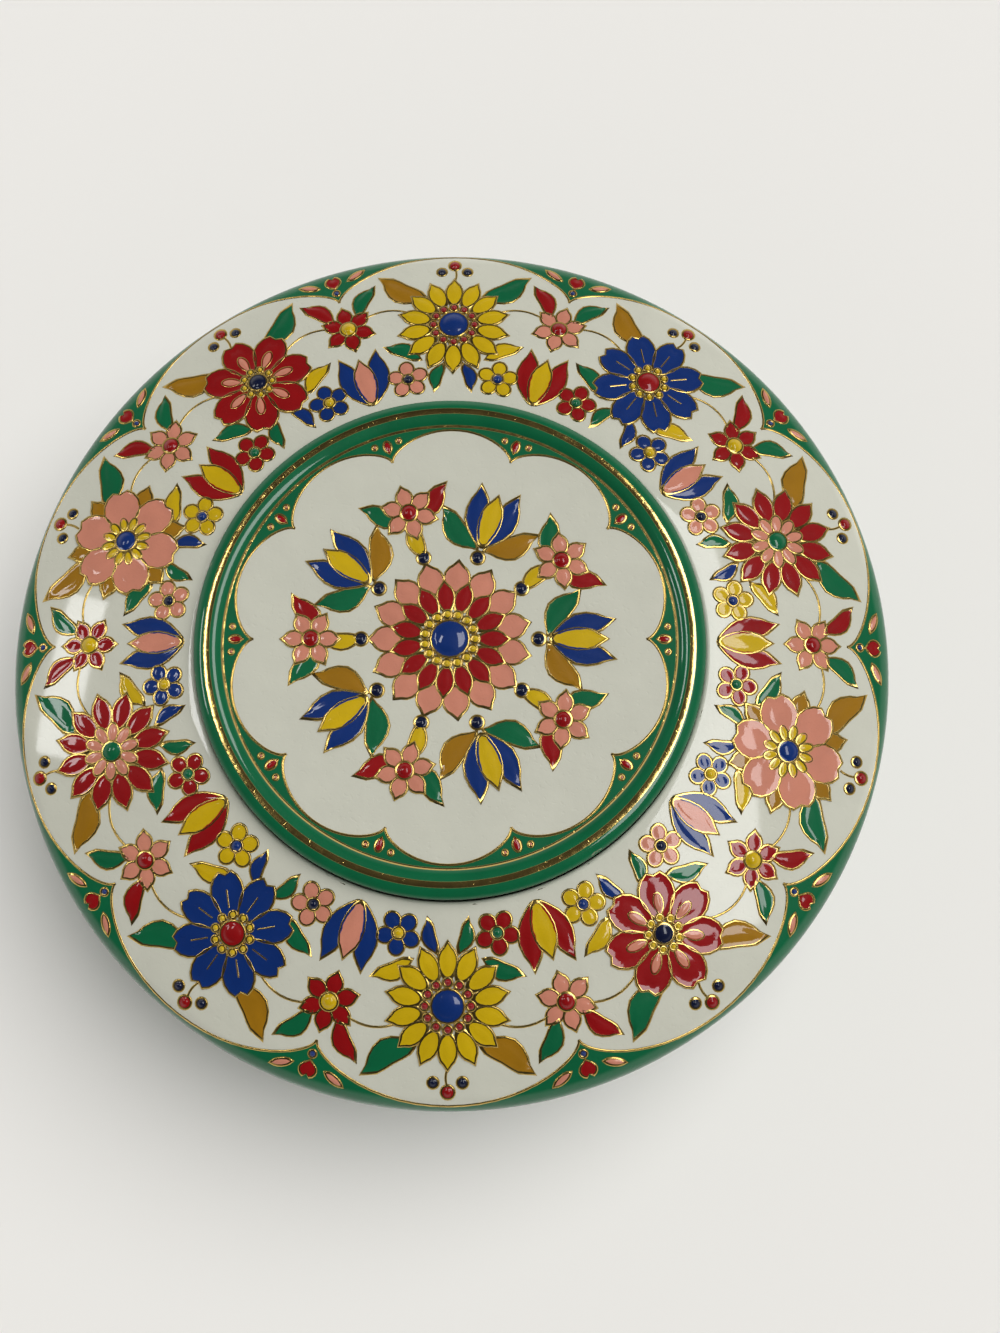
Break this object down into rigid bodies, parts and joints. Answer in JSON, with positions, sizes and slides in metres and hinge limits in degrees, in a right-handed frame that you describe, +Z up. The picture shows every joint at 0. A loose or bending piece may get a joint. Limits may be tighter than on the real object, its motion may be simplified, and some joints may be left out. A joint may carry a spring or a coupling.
{
  "type": "lidded tin",
  "caption": "Round saucer-shaped keepsake tin: a sloping printed shoulder round a lift-out lid with a rounded bead and sunk panel, over a deep bowl with a recessed base.",
  "frame": {"origin": "middle of the foot, on the surface that the tin stands on", "axes": "+Z up along the tin's axis, -Y towards the picture's viewer, +X to the viewer's right"},
  "size_m": [0.23, 0.23, 0.07],
  "materials": {
    "lid_print": "glossy varnished print on embossed tinplate",
    "shoulder_print": "glossy varnished print on embossed tinplate",
    "bowl_enamel": "glossy varnished tinplate"
  },
  "bodies": {
    "tin": {"shoulder": "shoulder_print", "bowl": "bowl_enamel"},
    "lid": {"lid": "lid_print"}
  },
  "joints": [
    {"name": "lid_lift", "type": "slide", "parent": "tin", "child": "lid", "axis": [0, 0, 1], "range_m": [0, 0.06]}
  ]
}
